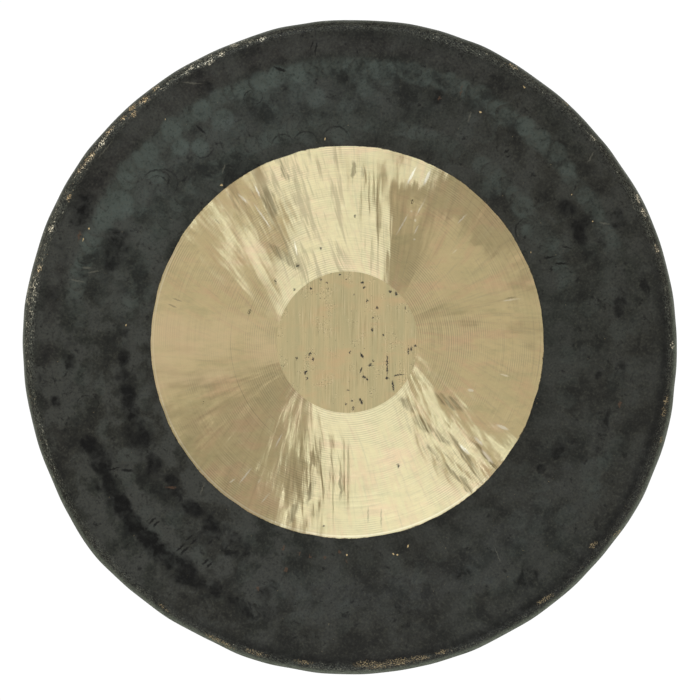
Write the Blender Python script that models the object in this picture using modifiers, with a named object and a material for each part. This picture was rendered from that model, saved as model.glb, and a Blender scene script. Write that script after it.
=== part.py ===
"""A hand-hammered bronze gong with a turned-back rim, in metres, +Z up.

The gong is one piece of bronze: a thin domed face that is turned back at its edge into a rim.
It hangs upright by two holes in the top of that rim, with its face towards -Y.
Its origin is the middle of its bounding box, and its axis runs along Y.

Profiles are drawn for a gong that lies face up, and gong_axis stands it on its edge.
"""

import math

import bmesh
import bpy

# Overall sizes
OUTER_DIAMETER = 0.610
RIM_DEPTH = 0.046  # from the top of the shoulder back to the lip
RIM_LEAN = math.radians(5.0)  # the rim closes in behind the face
SHOULDER_RADIUS = 0.010  # the round turn between the face and the rim
FACE_WALL = 0.0018
RIM_WALL = 0.0022
LIP_CHAMFER = 0.0003

# The shape of the face: a shallow dome, with a hammered slope near its edge
DOME_RISE = 0.0050
SLOPE_DROP = 0.0035
SLOPE_WIDTH = 0.048
SLOPE_TO_EDGE = 0.050  # from the outer end of the slope to the gong's edge

# The bright ring that is turned clean on a lathe, front and back, a little off the gong's centre
LATHED_OUTER_RADIUS = 0.1825
LATHED_INNER_RADIUS = 0.0660
LATHED_DEPTH = 0.0003
LATHED_SHIFT_X = -0.0027
LATHED_SHIFT_UP = 0.0046

# The two holes that the gong hangs by
HOLE_DIAMETER = 0.009
HOLE_ANGLE = math.radians(22.0)  # either side of the top
HOLE_TO_LIP = 0.022
CUTTER_CLEARANCE = 0.006  # how far a cutter reaches past what it cuts

# How finely the round shapes are drawn
TURN_STEPS = 96
FACE_STEPS = 14
SHOULDER_STEPS = 6
LATHED_STEPS = 6
HOLE_SIDES = 24

OUTER_RADIUS = OUTER_DIAMETER / 2
SHOULDER_CENTRE_RADIUS = OUTER_RADIUS - SHOULDER_RADIUS
SLOPE_END = OUTER_RADIUS - SLOPE_TO_EDGE
SLOPE_START = SLOPE_END - SLOPE_WIDTH


def face_drop(radius):
    """How far the front of the face lies below its crown at this radius."""
    along = min(max((radius - SLOPE_START) / SLOPE_WIDTH, 0.0), 1.0)
    eased = along * along * (3.0 - 2.0 * along)
    return DOME_RISE * (radius / OUTER_RADIUS) ** 2 + SLOPE_DROP * eased


FACE_DEPTH = face_drop(SHOULDER_CENTRE_RADIUS)
TOTAL_DEPTH = FACE_DEPTH + RIM_DEPTH
CROWN = TOTAL_DEPTH / 2
LIP = CROWN - TOTAL_DEPTH
SHOULDER_CENTRE = CROWN - FACE_DEPTH - SHOULDER_RADIUS


def wall_at(turn):
    """The wall's thickness round the shoulder, where turn runs from 0 at the face to 1 at the rim."""
    return FACE_WALL + (RIM_WALL - FACE_WALL) * turn


def face_line(depth):
    """Points across the face, this far below its front, from the axis to the shoulder."""
    radii = [SHOULDER_CENTRE_RADIUS * step / FACE_STEPS for step in range(FACE_STEPS)]
    return [(radius, CROWN - face_drop(radius) - depth) for radius in radii]


def shoulder_line(inside):
    """Points round the shoulder, on its outside or inside: a quarter turn, and on to the leaning rim."""
    turns = [step / SHOULDER_STEPS for step in range(SHOULDER_STEPS + 1)]
    angles = [math.pi / 2 * (1.0 - turn) for turn in turns]
    points = []
    for turn, angle in zip(turns + [1.0], angles + [-RIM_LEAN]):
        reach = SHOULDER_RADIUS - (wall_at(turn) if inside else 0.0)
        points.append(
            (SHOULDER_CENTRE_RADIUS + reach * math.cos(angle), SHOULDER_CENTRE + reach * math.sin(angle))
        )
    return points


def rim_point(start, height):
    """The point where the rim's straight wall, from this start, comes to this height."""
    return start[0] - (start[1] - height) * math.tan(RIM_LEAN), height


def gong_profile():
    """Half of the gong's section: out along the front, round the rim and back along the inside."""
    outside = face_line(0.0) + shoulder_line(inside=False)
    inside = face_line(FACE_WALL) + shoulder_line(inside=True)
    lip_outside = rim_point(outside[-1], LIP)
    lip_inside = rim_point(inside[-1], LIP)
    lip = [
        rim_point(outside[-1], LIP + LIP_CHAMFER),
        (lip_outside[0] - LIP_CHAMFER, LIP),
        (lip_inside[0] + LIP_CHAMFER, LIP),
        rim_point(inside[-1], LIP + LIP_CHAMFER),
    ]
    return outside + lip + inside[::-1]


def lathed_line(depth):
    """Points across the lathed ring, this far below the front of the face, from its inner edge out."""
    width = LATHED_OUTER_RADIUS - LATHED_INNER_RADIUS
    radii = [LATHED_INNER_RADIUS + width * step / LATHED_STEPS for step in range(LATHED_STEPS + 1)]
    return [(radius, CROWN - face_drop(radius) - depth) for radius in radii]


def front_cut_profile():
    """What the lathe takes off the front: open above the face, and even in depth below it."""
    above = CROWN + CUTTER_CLEARANCE
    top = [(LATHED_INNER_RADIUS, above), (LATHED_OUTER_RADIUS, above)]
    return top + lathed_line(LATHED_DEPTH)[::-1]


def back_cut_profile():
    """What the lathe takes off the back: even in depth, and open behind the face."""
    below = CROWN - FACE_DEPTH - FACE_WALL - CUTTER_CLEARANCE
    bottom = [(LATHED_OUTER_RADIUS, below), (LATHED_INNER_RADIUS, below)]
    return lathed_line(FACE_WALL - LATHED_DEPTH) + bottom


def clear_scene():
    """Removes whatever the scene starts with."""
    for thing in list(bpy.data.objects):
        bpy.data.objects.remove(thing, do_unlink=True)


def new_collection(name):
    """A collection of this name in the scene."""
    collection = bpy.data.collections.new(name)
    bpy.context.scene.collection.children.link(collection)
    return collection


def metal(name, colour, roughness):
    """A plain metal of this colour."""
    material = bpy.data.materials.new(name)
    material.use_nodes = True
    shader = material.node_tree.nodes["Principled BSDF"]
    shader.inputs["Base Color"].default_value = (*colour, 1.0)
    shader.inputs["Metallic"].default_value = 1.0
    shader.inputs["Roughness"].default_value = roughness
    return material


def turned(name, points, collection, closed, material):
    """A solid turned about Z from a profile in X and Z. A closed profile is a ring clear of the axis."""
    mesh = bpy.data.meshes.new(name)
    edges = [(i, i + 1) for i in range(len(points) - 1)]
    if closed:
        edges.append((len(points) - 1, 0))
    mesh.from_pydata([(radius, 0.0, height) for radius, height in points], edges, [])
    mesh.materials.append(material)
    shape = bpy.data.objects.new(name, mesh)
    collection.objects.link(shape)
    screw = shape.modifiers.new("Turn", "SCREW")
    screw.axis = "Z"
    screw.angle = 2 * math.pi
    screw.steps = TURN_STEPS
    screw.render_steps = TURN_STEPS
    screw.use_merge_vertices = True
    screw.merge_threshold = 0.00001
    screw.use_smooth_shade = True
    return shape


def as_cutter(shape):
    """Keeps a shape out of the finished model."""
    shape.hide_render = True
    shape.display_type = "WIRE"
    return shape


def cut(shape, cutter):
    """Takes a cutter's shape out of a solid, and gives the cut the cutter's own finish."""
    boolean = shape.modifiers.new("Cut " + cutter.name, "BOOLEAN")
    boolean.operation = "DIFFERENCE"
    boolean.solver = "EXACT"
    boolean.object = cutter
    boolean.material_mode = "TRANSFER"


def gong_axis(collection):
    """The gong's own axis. It turns what lies face up to face -Y, so that the local +Y is up."""
    axis = bpy.data.objects.new("gong_axis", None)
    axis.rotation_euler = (math.pi / 2, 0.0, 0.0)
    collection.objects.link(axis)
    return axis


def lathe_cutter(name, profile, collection, finish):
    """A ring that the lathe takes off the face."""
    cutter = turned(name, profile, collection, closed=True, material=finish)
    cutter.location = (LATHED_SHIFT_X, LATHED_SHIFT_UP, 0.0)
    return as_cutter(cutter)


def hole_cutter(name, angle, collection, finish):
    """A drill through the rim, square to the gong's axis, this far round from the top."""
    length = RIM_WALL + 2 * CUTTER_CLEARANCE
    mesh = bpy.data.meshes.new(name)
    drill = bmesh.new()
    bmesh.ops.create_cone(
        drill,
        cap_ends=True,
        segments=HOLE_SIDES,
        radius1=HOLE_DIAMETER / 2,
        radius2=HOLE_DIAMETER / 2,
        depth=length,
    )
    drill.to_mesh(mesh)
    drill.free()
    mesh.materials.append(finish)
    cutter = bpy.data.objects.new(name, mesh)
    collection.objects.link(cutter)
    height = LIP + HOLE_TO_LIP
    wall_middle = rim_point(shoulder_line(inside=False)[-1], height)[0] - RIM_WALL / 2
    cutter.location = (wall_middle * math.sin(angle), wall_middle * math.cos(angle), height)
    cutter.rotation_euler = (math.pi / 2, 0.0, -angle)
    return as_cutter(cutter)


def main():
    clear_scene()
    parts = new_collection("gong_parts")
    cutters = new_collection("gong_cutters")
    patina = metal("dark_patina", (0.040, 0.042, 0.037), 0.45)
    lathed = metal("lathed_bronze", (0.54, 0.45, 0.26), 0.30)

    axis = gong_axis(parts)
    gong = turned("gong", gong_profile(), parts, closed=False, material=patina)
    gong.parent = axis
    tools = [
        lathe_cutter("lathe_cut_front", front_cut_profile(), cutters, lathed),
        lathe_cutter("lathe_cut_back", back_cut_profile(), cutters, lathed),
        hole_cutter("hanging_hole_left", -HOLE_ANGLE, cutters, lathed),
        hole_cutter("hanging_hole_right", HOLE_ANGLE, cutters, lathed),
    ]
    for tool in tools:
        tool.parent = axis
        cut(gong, tool)


main()
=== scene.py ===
"""The looks of a hammered bronze gong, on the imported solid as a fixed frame.

The gong is one piece of metal, so the scene has one piece too: a fine mesh of the same sheet, with its
hammer marks, its lathe grooves and its slightly uneven outline as real shape. It hangs with its face
towards -Y. Angles go round the face from 12 o'clock, clockwise as the camera sees it.
"""

import math

import bpy
import numpy as np
from mathutils import Matrix, Vector


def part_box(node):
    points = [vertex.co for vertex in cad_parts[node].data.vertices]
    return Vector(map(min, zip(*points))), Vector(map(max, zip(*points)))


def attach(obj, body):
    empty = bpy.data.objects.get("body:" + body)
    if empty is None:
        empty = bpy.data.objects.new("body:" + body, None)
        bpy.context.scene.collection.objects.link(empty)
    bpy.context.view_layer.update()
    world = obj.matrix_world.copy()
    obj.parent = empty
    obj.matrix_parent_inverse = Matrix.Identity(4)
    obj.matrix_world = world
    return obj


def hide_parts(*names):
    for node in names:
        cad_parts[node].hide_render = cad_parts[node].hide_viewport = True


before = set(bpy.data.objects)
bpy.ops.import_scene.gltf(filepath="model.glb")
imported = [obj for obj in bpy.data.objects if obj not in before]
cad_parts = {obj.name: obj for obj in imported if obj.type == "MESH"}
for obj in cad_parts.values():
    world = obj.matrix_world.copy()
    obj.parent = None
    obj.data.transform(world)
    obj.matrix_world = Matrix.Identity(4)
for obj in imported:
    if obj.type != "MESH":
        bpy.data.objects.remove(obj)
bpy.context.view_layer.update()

MM = 0.001

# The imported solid's box, and the profile inside it, as the solid was turned
LOW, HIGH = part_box("gong")
OUTER_RADIUS = (HIGH.x - LOW.x) / 2
CROWN = (HIGH.y - LOW.y) / 2
LIP = -CROWN
RIM_LEAN = math.radians(5.0)
SHOULDER_RADIUS = 10.0 * MM
FACE_WALL = 1.8 * MM
RIM_WALL = 2.2 * MM
DOME_RISE = 5.0 * MM
SLOPE_DROP = 3.5 * MM
SLOPE_WIDTH = 48.0 * MM
SLOPE_END = OUTER_RADIUS - 50.0 * MM
SLOPE_START = SLOPE_END - SLOPE_WIDTH
SHOULDER_CENTRE_RADIUS = OUTER_RADIUS - SHOULDER_RADIUS

# The bright ring, its own centre, and the holes
RING_CENTRE = (-2.7 * MM, 4.6 * MM)
RING_OUTER = 182.5 * MM
RING_INNER = 66.0 * MM
RING_DEPTH = 0.3 * MM
HOLE_RADIUS = 4.5 * MM
HOLE_ANGLE = math.radians(22.0)
HOLE_TO_LIP = 22.0 * MM
DRILL_LENGTH = 14.0 * MM
DRILL_SIDES = 64

# How finely the sheet is drawn
FINE = 560
MIDDLE = FINE // 2
COARSE = FINE // 4
GROOVE_PITCH = 2.0 * MM
GROOVE_DEPTH = 0.035 * MM

# In the photograph, 700 pixels square, the gong's edge is a circle of this radius round this middle
FRAME_PIXELS = 700
EDGE_PIXELS = 327.2
MIDDLE_PIXEL = (350.2, 347.1)
PIXELS_PER_METRE = EDGE_PIXELS / OUTER_RADIUS

SEED = 11


def photo_place(x, y):
    """The place (across, up) on the gong that shows at this pixel of the photograph."""
    return (x - MIDDLE_PIXEL[0]) / PIXELS_PER_METRE, (MIDDLE_PIXEL[1] - y) / PIXELS_PER_METRE


def smooth(value):
    """0 below 0, 1 above 1, and eased between."""
    value = np.clip(value, 0.0, 1.0)
    return value * value * (3.0 - 2.0 * value)


def face_drop(radius):
    """How far the plain face lies behind its crown."""
    eased = smooth((radius - SLOPE_START) / SLOPE_WIDTH)
    return DOME_RISE * (radius / OUTER_RADIUS) ** 2 + SLOPE_DROP * eased


SHOULDER_CENTRE = CROWN - float(face_drop(SHOULDER_CENTRE_RADIUS)) - SHOULDER_RADIUS


# Hammer marks and waves of the sheet

# The radii of the two deepest rows of marks, and how far apart the marks of a row are, in mm
OUTER_ROW = 260.0
INNER_ROW = 208.0
MARK_SPACING = 18.0

# Rows of hammer marks, as (radius, size and depth in mm, light stretches, dark stretches). A stretch is
# (from, to, how much), in degrees round the face
# Most light stretches lie at the top and upper left and most dark ones at the lower left: partly rubbed
# patina and soot, partly painted light and shade of the lamp above on the dents
ROWS = (
    (
        OUTER_ROW, 11.5, 0.42, ((290, 52, 0.85), (50, 66, 0.4)),
        ((194, 252, 0.8), (74, 100, 0.45), (256, 288, 0.35)),
    ),
    (INNER_ROW, 10.5, 0.34, ((18, 78, 0.45), (280, 20, 0.35)), ((204, 274, 0.75), (76, 140, 0.3))),
    (221, 12.0, 0.14, ((285, 8, 0.4), (8, 62, 0.15)), ((208, 268, 0.45),)),
    (234, 12.0, 0.16, ((285, 8, 0.5), (8, 40, 0.2)), ((280, 300, 0.4), (50, 66, 0.35))),
    (247, 12.0, 0.16, ((288, 12, 0.6), (12, 60, 0.2)), ((200, 250, 0.4), (280, 298, 0.45))),
    (273, 12.0, 0.12, (), ((190, 250, 0.25), (70, 110, 0.25))),
    (285, 12.0, 0.12, (), ((285, 300, 0.55), (30, 150, 0.2))),
    (194, 12.0, 0.12, ((280, 70, 0.25),), ((0, 360, 0.15),)),
)

# Single marks that stand out, as (x, y, radius, how much) in the photograph's pixels
# The light marks, most of them at the top, are partly rubbed patina and partly painted light
LIGHT_MARKS = (
    (524, 127, 11, 1.0), (505, 118, 11, 0.6), (541, 138, 9, 0.65), (556, 153, 12, 0.6), (569, 177, 10, 0.5),
    (584, 196, 11, 0.5), (597, 216, 9, 0.5), (480, 97, 13, 0.5), (449, 80, 9, 0.55), (430, 77, 9, 0.55),
    (377, 71, 11, 0.65), (522, 208, 13, 0.55), (527, 232, 9, 0.45), (490, 188, 14, 0.45),
    (297, 74, 10, 0.7), (223, 121, 13, 0.75), (181, 148, 10, 0.85), (201, 148, 10, 0.75),
    (157, 177, 9, 0.75), (340, 136, 12, 0.45), (308, 138, 10, 0.4), (120, 205, 17, 0.8),
    (150, 152, 11, 0.8), (590, 490, 14, 0.35), (604, 462, 11, 0.4),
)
# The dark marks, most of them at the lower left, are partly soot and partly painted shade
DARK_MARKS = (
    (152, 542, 10, 1.0), (135, 526, 11, 0.85), (124, 508, 10, 0.95), (111, 485, 9, 0.9), (96, 450, 10, 1.0),
    (101, 464, 10, 0.8), (88, 441, 7, 0.75), (167, 551, 9, 0.6), (187, 565, 9, 0.95), (196, 578, 9, 0.85),
    (215, 591, 10, 0.55), (186, 576, 8, 0.55), (124, 357, 7, 0.8), (123, 375, 8, 0.75), (128, 395, 8, 0.7),
    (131, 410, 9, 0.75), (138, 440, 12, 0.65), (147, 432, 8, 0.6), (156, 464, 8, 0.95), (144, 472, 10, 0.4),
    (192, 508, 9, 1.0), (213, 526, 9, 0.6), (237, 546, 12, 0.45), (268, 588, 13, 0.42), (270, 612, 11, 0.4),
    (238, 600, 9, 0.35), (84, 206, 13, 0.55), (84, 222, 10, 0.55), (118, 250, 14, 0.55),
    (108, 240, 11, 0.45), (208, 88, 7, 0.65), (253, 73, 8, 0.5), (236, 170, 8, 0.55), (189, 203, 7, 0.5),
    (437, 98, 10, 0.55), (474, 107, 9, 0.5), (565, 208, 9, 0.62), (580, 219, 9, 0.65), (578, 236, 8, 0.75),
    (616, 218, 10, 0.6), (591, 174, 9, 0.4), (557, 448, 9, 0.85), (542, 467, 5, 0.45), (60, 458, 8, 0.4),
    (52, 300, 12, 0.35), (619, 375, 7, 0.4), (597, 375, 4, 0.7), (57, 402, 6, 0.75), (44, 380, 6, 0.6),
    (70, 363, 7, 0.5), (75, 422, 6, 0.6), (124, 290, 8, 0.45), (120, 320, 8, 0.45),
)


# A single mark's depth, and how far its light or its darkness reaches, in sizes of the mark. The
# darkness is smeared along its row more than across it
SINGLE_DEPTH = 0.4 * MM
LIGHT_REACH = 1.15
DARK_REACH = 1.55
DARK_LENGTH = 1.18
DARK_WIDTH = 0.84


def clock(angle, radius):
    """The place (across, up) at this angle in degrees and this radius from the gong's axis."""
    return radius * math.sin(math.radians(angle)), radius * math.cos(math.radians(angle))


def stretch(angle, stretches):
    """How much these stretches round the face come to at an angle. Their ends are eased over 5 degrees."""
    total = 0.0
    for start, end, amount in stretches:
        into = (angle - start) % 360.0
        length = (end - start) % 360.0 or 360.0
        inside = min(into, length - into) if into < length else -min(into - length, 360.0 - into)
        total = max(total, amount * float(smooth(0.5 + inside / 10.0)))
    return total


def hammer_marks():
    """All the marks on the face, as (across, up, radius, depth, light, darkness)."""
    rng = np.random.default_rng(SEED)
    marks = []
    for radius, size, depth, light, darkness in ROWS:
        count = round(2 * math.pi * radius / MARK_SPACING)
        stray = 2.0 if radius in (OUTER_ROW, INNER_ROW) else 4.5
        for i in range(count):
            angle = 360.0 * (i + rng.uniform(-0.3, 0.3)) / count
            across, up = clock(angle, (radius + rng.normal(0.0, stray)) * MM)
            size_here = size * rng.uniform(0.75, 1.2) * MM
            depth_here = depth * rng.uniform(0.3, 1.5) * MM
            lit = stretch(angle, light) * rng.uniform(0.25, 1.0)
            black = stretch(angle, darkness) * rng.uniform(0.1, 1.0)
            marks.append((across, up, size_here, depth_here, lit, black))
    for x, y, size, amount in LIGHT_MARKS:
        marks.append((*photo_place(x, y), LIGHT_REACH * size / PIXELS_PER_METRE, SINGLE_DEPTH, amount, 0.0))
    for x, y, size, amount in DARK_MARKS:
        marks.append((*photo_place(x, y), DARK_REACH * size / PIXELS_PER_METRE, SINGLE_DEPTH, 0.0, amount))
    return marks


MARKS = hammer_marks()


def under_marks(across, up):
    """What the marks do at each place, as (depth, light, darkness). Where marks overlap, the deepest
    and the lightest count, and the darkness adds up."""
    depth, light, darkness = np.zeros_like(across), np.zeros_like(across), np.zeros_like(across)
    for x, y, size, deep, lit, black in MARKS:
        near = np.nonzero(np.hypot(across - x, up - y) < DARK_LENGTH * size)[0]
        if not len(near):
            continue
        away_x, away_y = (across[near] - x) / size, (up[near] - y) / size
        dish = np.clip(1.0 - away_x ** 2 - away_y ** 2, 0.0, None)
        depth[near] = np.maximum(depth[near], deep * dish * (0.4 + 0.6 * dish))
        light[near] = np.maximum(light[near], lit * smooth(1.35 * dish))
        reach = math.hypot(x, y)
        outward, along = (away_x * x + away_y * y) / reach, (away_x * y - away_y * x) / reach
        smear = np.clip(1.0 - (outward / DARK_WIDTH) ** 2 - (along / DARK_LENGTH) ** 2, 0.0, None)
        darkness[near] = 1.0 - (1.0 - darkness[near]) * (1.0 - 0.9 * black * smooth(1.1 * smear))
    return depth, light, darkness


def ripples(rng, angle, counts, slope):
    """Waves round the sheet whose steepness is about this at radius 1, with these numbers of crests."""
    total = np.zeros_like(angle)
    for count in counts:
        total += slope / count * np.sin(count * angle + rng.uniform(0.0, 2 * math.pi))
    return total / math.sqrt(len(counts))


SHEET_WAVES = 26
SHEET_SLOPE = 0.010


def sheet_wave(across, up):
    """The slow unevenness of the whole sheet, in metres."""
    rng = np.random.default_rng(SEED + 1)
    total = np.zeros_like(across)
    for _ in range(SHEET_WAVES):
        heading = rng.uniform(0.0, 2 * math.pi)
        length = rng.uniform(35.0, 110.0) * MM
        phase = rng.uniform(0.0, 2 * math.pi)
        along = across * math.cos(heading) + up * math.sin(heading)
        total += SHEET_SLOPE * length / (2 * math.pi) * np.sin(2 * math.pi * along / length + phase)
    return total / math.sqrt(SHEET_WAVES / 2)


def ring_wave(across, up):
    """Radial ripples that the lathe leaves in the bright ring, in metres."""
    x, y = across - RING_CENTRE[0], up - RING_CENTRE[1]
    radius = np.hypot(x, y)
    angle = np.arctan2(x, y)
    rng = np.random.default_rng(SEED + 2)
    total = np.zeros_like(across)
    for level in (0.3, 0.7, 1.0):
        middle = RING_INNER + (RING_OUTER - RING_INNER) * level
        share = np.exp(-((radius - middle) / (32 * MM)) ** 2)
        total += share * radius * ripples(rng, angle, (17, 23, 31, 37, 44, 53), 0.012)
    return total


# The uneven outline, as bumps at an angle (degrees), with a width (degrees) and a height (mm)
OUTLINE_BUMPS = (
    (18, 10, 1.6), (50, 11, -1.2), (86, 12, -0.6), (114, 12, 1.4), (152, 9, -0.5), (208, 9, -1.5),
    (231, 7, 2.3), (252, 8, -0.8), (280, 9, 0.7), (301, 6, 1.0), (335, 12, -1.4),
)


def outline(angle):
    """How far the gong's edge stands out from a true circle."""
    degrees = np.degrees(angle)
    total = np.zeros_like(angle)
    for middle, width, height in OUTLINE_BUMPS:
        away = (degrees - middle + 180.0) % 360.0 - 180.0
        total += height * MM * np.exp(-(away / width) ** 2)
    rng = np.random.default_rng(SEED + 3)
    return total + ripples(rng, angle, (19, 27, 38, 51), 8.0 * MM)


def ring_edge(angle):
    """How far the bright ring's edge wanders, as short flats."""
    rng = np.random.default_rng(SEED + 4)
    return ripples(rng, angle, (17, 23, 31, 43, 61), 11.0 * MM)


# The sheet, drawn as rings of points from the middle of the front to the middle of the back

class Rings:
    """Collects rings of points, the faces between them, and how light or dark each point is."""

    def __init__(self):
        self.points = []
        self.light = []
        self.darkness = []
        self.total = 0
        self.faces = []
        self.zones = []
        self.last = None

    def add(self, points, zone, light=None, darkness=None):
        """Adds a ring, and the faces of this zone that join it to the ring before."""
        ids = np.arange(self.total, self.total + len(points))
        self.points.append(points)
        self.light.append(np.zeros(len(points)) if light is None else light)
        self.darkness.append(np.zeros(len(points)) if darkness is None else darkness)
        self.total += len(points)
        if self.last is not None:
            joined = joining_faces(self.last, ids)
            self.faces.extend(joined)
            self.zones.extend([ZONES.index(zone)] * len(joined))
        self.last = ids

    def add_front(self, radius, count, zone, sink=0.0):
        """Adds a ring on the front of the face."""
        points, light, darkness = face_ring(radius, count, sink)
        self.add(points, zone, light, darkness)

    def add_back(self, radius, count, zone, sink=FACE_WALL):
        """Adds a ring on the back of the face."""
        self.add(face_ring(radius, count, sink)[0], zone)

    def add_wall(self, radius, height, count, zone, front=False):
        """Adds a ring on the shoulder, the rim or the lip."""
        points, light, darkness = wall_ring(radius, height, count)
        self.add(points, zone, light if front else None, darkness if front else None)


def joining_faces(a, b):
    """Faces from one ring of points to the next. One may have twice the points, or be a single point."""
    next_a, next_b = np.roll(a, -1), np.roll(b, -1)
    if len(a) == len(b):
        return list(zip(a, next_a, next_b, b))
    if len(a) == 1:
        return [(a[0], q, p) for p, q in zip(b, next_b)]
    if len(b) == 1:
        return [(b[0], p, q) for p, q in zip(a, next_a)]
    faces = []
    if len(b) > len(a):
        for i, j, p, q, r in zip(a, next_a, b[::2], b[1::2], next_b[1::2]):
            faces += [(i, q, p), (i, j, q), (j, r, q)]
    else:
        for i, j, p, q, r in zip(b, next_b, a[::2], a[1::2], next_a[1::2]):
            faces += [(i, p, q), (i, q, j), (j, q, r)]
    return faces


def steps(start, end, spacing):
    """Evenly spaced values from start towards end, without the last."""
    count = max(1, round(abs(end - start) / spacing))
    return [start + (end - start) * i / count for i in range(count)]


def face_ring(radius, count, sink):
    """A ring of points on the face, this far behind its front, and how light and dark they are."""
    angle = np.arange(count) * 2 * math.pi / count
    far = max(0.0, (radius - RING_OUTER) / (SHOULDER_CENTRE_RADIUS - RING_OUTER))
    near_edge = math.exp(-((radius - RING_OUTER) / (9 * MM)) ** 2)
    reach = radius + ring_edge(angle) * near_edge + outline(angle) * float(smooth(far)) ** 2
    across = RING_CENTRE[0] * (1 - far) + reach * np.sin(angle)
    up = RING_CENTRE[1] * (1 - far) + reach * np.cos(angle)
    height = CROWN - face_drop(np.hypot(across, up)) - sink
    on_ring = smooth((radius - RING_INNER) / (6 * MM)) * smooth((RING_OUTER + 6 * MM - radius) / (8 * MM))
    fade = 1.0 - 0.7 * float(smooth(far)) ** 6
    depth, light, darkness = under_marks(across, up)
    height = height + (sheet_wave(across, up) - depth * (1.0 - 0.75 * on_ring)) * fade
    height = height + ring_wave(across, up) * on_ring
    return np.stack([across, -height, up], axis=1), light, darkness


def wall_ring(radius, height, count):
    """A ring on the shoulder or the rim, where the radius and the height come from the profile."""
    angle = np.arange(count) * 2 * math.pi / count
    rng = np.random.default_rng(SEED + 5)
    back = (CROWN - height) / (2 * CROWN)
    reach = radius + outline(angle) + ripples(rng, angle, (23, 34, 47, 61), 14.0 * MM) * back
    across, up = reach * np.sin(angle), reach * np.cos(angle)
    fade = 0.3 * float(smooth((height - SHOULDER_CENTRE) / SHOULDER_RADIUS))
    depth, light, darkness = under_marks(across, up)
    height = height + (sheet_wave(across, up) - depth) * fade
    return np.stack([across, -height, up], axis=1), light, darkness


def shoulder(inside, turn):
    """The profile's radius and height round the shoulder, where turn goes from 0 at the face to 1."""
    angle = math.pi / 2 - turn * (math.pi / 2 + RIM_LEAN)
    wall = FACE_WALL + (RIM_WALL - FACE_WALL) * turn
    reach = SHOULDER_RADIUS - (wall if inside else 0.0)
    return SHOULDER_CENTRE_RADIUS + reach * math.cos(angle), SHOULDER_CENTRE + reach * math.sin(angle)


def rim_radius(inside, height):
    """The straight rim wall's radius at this height."""
    start_radius, start_height = shoulder(inside, 1.0)
    return start_radius - (start_height - height) * math.tan(RIM_LEAN)


ZONES = ("centre", "lathed", "patina", "lip")
EDGE_STEP = 0.35 * MM  # half the width of the little step at the ring's edges
LIP_ROUND = 0.8 * MM
RUN_IN = 6.0 * MM  # over this width the ring's inner edge runs down to its full depth


def add_front_face(rings):
    """The front, from the middle out to the shoulder, with the lathe's grooves."""
    rings.add_front(0.0, 1, "centre")
    for radius in steps(3 * MM, 21 * MM, 3 * MM):
        rings.add_front(radius, COARSE // 2, "centre")
    for radius in steps(21 * MM, 45 * MM, 2.4 * MM):
        rings.add_front(radius, COARSE, "centre")
    for radius in steps(45 * MM, RING_INNER - EDGE_STEP, 2.2 * MM) + [RING_INNER - EDGE_STEP]:
        rings.add_front(radius, MIDDLE, "centre")
    turned = steps(RING_INNER + EDGE_STEP, RING_OUTER - EDGE_STEP, GROOVE_PITCH / 2)
    for number, radius in enumerate(turned + [RING_OUTER - EDGE_STEP]):
        eased = float(smooth((radius - RING_INNER) / RUN_IN))
        rings.add_front(radius, MIDDLE, "lathed", RING_DEPTH * eased + GROOVE_DEPTH * (number % 2))
    rings.add_front(RING_OUTER + EDGE_STEP, FINE, "patina")
    for radius in steps(RING_OUTER + 3 * MM, SHOULDER_CENTRE_RADIUS, 2.8 * MM):
        rings.add_front(radius, FINE, "patina")


def add_rim(rings):
    """The shoulder, the rim behind it with its rounded lip, and their inside."""
    for turn in steps(0.0, 1.0, 0.1) + [1.0]:
        rings.add_wall(*shoulder(False, turn), FINE, "patina", front=True)
    for height in steps(shoulder(False, 1.0)[1], LIP + LIP_ROUND, 3.2 * MM)[1:]:
        rings.add_wall(rim_radius(False, height), height, FINE, "patina")
    for turn in (0.0, 0.25, 0.5, 0.75, 1.0):
        angle = turn * math.pi / 2
        radius = rim_radius(False, LIP) - LIP_ROUND * (1 - math.cos(angle))
        rings.add_wall(radius, LIP + LIP_ROUND * (1 - math.sin(angle)), FINE, "lip")
    for turn in (0.0, 0.5, 1.0):
        angle = turn * math.pi / 2
        radius = rim_radius(True, LIP) + LIP_ROUND * (1 - math.sin(angle))
        rings.add_wall(radius, LIP + LIP_ROUND * (1 - math.cos(angle)), MIDDLE, "lip")
    for height in steps(LIP + LIP_ROUND, shoulder(True, 1.0)[1], 4.0 * MM)[1:]:
        rings.add_wall(rim_radius(True, height), height, MIDDLE, "patina")
    for turn in steps(1.0, 0.0, 0.17) + [0.0]:
        rings.add_wall(*shoulder(True, turn), MIDDLE, "patina")


def add_back_face(rings):
    """The back of the face, from the shoulder in to the middle."""
    for radius in steps(SHOULDER_CENTRE_RADIUS, RING_OUTER + EDGE_STEP, 4.5 * MM)[1:]:
        rings.add_back(radius, MIDDLE, "patina")
    rings.add_back(RING_OUTER + EDGE_STEP, MIDDLE, "patina")
    for radius in steps(RING_OUTER - EDGE_STEP, RING_INNER + EDGE_STEP, 5.0 * MM) + [RING_INNER + EDGE_STEP]:
        rings.add_back(radius, MIDDLE, "lathed", FACE_WALL - RING_DEPTH)
    rings.add_back(RING_INNER - EDGE_STEP, MIDDLE, "patina")
    for radius in steps(RING_INNER - 4 * MM, 24 * MM, 5.0 * MM):
        rings.add_back(radius, COARSE, "patina")
    for radius in steps(24 * MM, 0.0, 6.0 * MM):
        rings.add_back(radius, COARSE // 2, "patina")
    rings.add_back(0.0, 1, "patina")


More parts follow.
